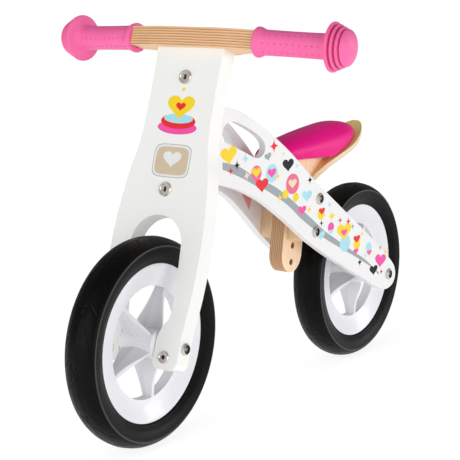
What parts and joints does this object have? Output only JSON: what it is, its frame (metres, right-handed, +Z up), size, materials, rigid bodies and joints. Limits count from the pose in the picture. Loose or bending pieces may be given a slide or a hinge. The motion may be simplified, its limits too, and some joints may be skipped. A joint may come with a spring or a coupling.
{
  "type": "balance bike",
  "caption": "Wooden balance bike for a toddler: leaning fork board, splayed side panels, padded seat on a height-adjustable post, spoked plastic wheels, swept handlebar with flanged grips.",
  "frame": {"origin": "on the ground, midway between the two wheels, on the bike's centre plane", "axes": "-Y to the front of the bike, +Y to the rear, +X to the rider's left, +Z up"},
  "size_m": [0.5008, 0.88, 0.5945],
  "materials": {
    "white_board": "white satin paint on plywood",
    "plywood": "clear-lacquered birch plywood, layers showing on the edges",
    "pale_wood": "plain pale beech, matt lacquer",
    "shell_wood": "bent veneer, satin lacquer",
    "grip_rubber": "soft pink rubber with raised dots",
    "tyre": "matt black foam tyre",
    "white_plastic": "moulded white plastic, satin",
    "bolt_steel": "nickel-plated steel",
    "zinc_steel": "zinc-plated steel",
    "dark_steel": "dark grey painted steel",
    "black_plastic": "black moulded plastic",
    "pad_cover": "glossy magenta synthetic leather over foam"
  },
  "bodies": {
    "frame": {"head_block": "white_board", "head_bushes": "black_plastic", "head_bolts": "bolt_steel", "head_bolt_nuts": "bolt_steel", "side_panel_left": "white_board", "side_panel_right": "white_board", "seat_post": "plywood", "spacer_left": "pale_wood", "spacer_right": "pale_wood", "seat_bolts": "bolt_steel", "seat_bolt_nuts": "bolt_steel", "seat_shell": "shell_wood", "seat_board": "plywood", "seat_pad": "pad_cover", "seat_screws": "zinc_steel", "rear_axle": "bolt_steel", "rear_axle_nut": "bolt_steel", "rear_axle_spacers": "zinc_steel"},
    "steering": {"fork_board": "white_board", "handlebar": "plywood", "handlebar_screws": "bolt_steel", "grip_left": "grip_rubber", "grip_right": "grip_rubber", "fork_bolts": "bolt_steel", "fork_bolt_nuts": "zinc_steel", "upper_bracket": "dark_steel", "lower_bracket": "dark_steel", "steering_pin": "bolt_steel", "steering_pin_nut": "zinc_steel", "leg_bolts": "bolt_steel", "leg_bolt_nuts": "zinc_steel", "front_axle": "bolt_steel", "front_axle_nut": "bolt_steel", "front_axle_spacers": "zinc_steel"},
    "front_wheel": {"front_rim": "white_plastic", "front_tyre": "tyre", "front_bearings": "bolt_steel"},
    "rear_wheel": {"rear_rim": "white_plastic", "rear_tyre": "tyre", "rear_bearings": "bolt_steel"}
  },
  "joints": [
    {"name": "steering", "type": "hinge", "parent": "frame", "child": "steering", "pos_m": [0, -0.16319, 0.41878], "axis": [0, 0.314, 0.9494], "range_deg": [-60, 60]},
    {"name": "front_wheel_spin", "type": "hinge", "parent": "steering", "child": "front_wheel", "pos_m": [0, -0.29, 0.15], "axis": [1, 0, 0], "continuous": true},
    {"name": "rear_wheel_spin", "type": "hinge", "parent": "frame", "child": "rear_wheel", "pos_m": [0, 0.29, 0.15], "axis": [1, 0, 0], "continuous": true}
  ]
}
